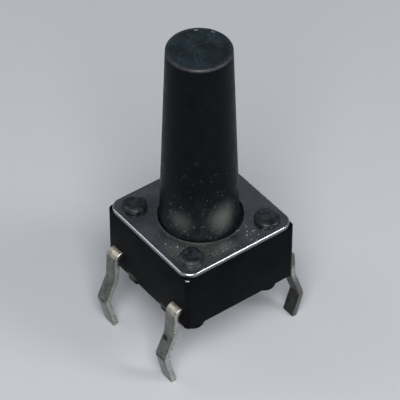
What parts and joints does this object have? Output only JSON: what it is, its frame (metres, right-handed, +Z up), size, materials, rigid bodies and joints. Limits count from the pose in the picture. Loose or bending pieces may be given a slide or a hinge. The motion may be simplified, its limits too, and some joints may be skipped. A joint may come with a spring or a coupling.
{
  "type": "tactile push button switch",
  "caption": "Small square momentary push switch with a long round tapered button, a staked metal cover and kinked leads for a circuit board.",
  "frame": {"origin": "middle of the seat on the circuit board, at the height of the feet's undersides", "axes": "+Z up along the button, +X and -X towards the two sides that the leads leave, +Y along a lead side"},
  "size_m": [0.008, 0.006, 0.0161],
  "materials": {
    "base_plastic": "satin black moulded thermoplastic",
    "button_plastic": "matte black moulded thermoplastic",
    "cover_steel": "rolled stainless sheet with a polished sheared edge",
    "dome_steel": "thin sprung stainless sheet",
    "tinned_lead": "plated strip with a soft grey shine"
  },
  "bodies": {
    "housing": {"base": "base_plastic", "cover_plate": "cover_steel", "snap_dome": "dome_steel", "centre_terminal": "tinned_lead", "common_terminal": "tinned_lead"},
    "button": {"button": "button_plastic"}
  },
  "joints": [
    {"name": "button_press", "type": "slide", "parent": "housing", "child": "button", "axis": [0, 0, -1], "range_m": [0, 0.00025], "stiffness_N_per_m": 6400, "deforming": ["snap_dome"]}
  ]
}
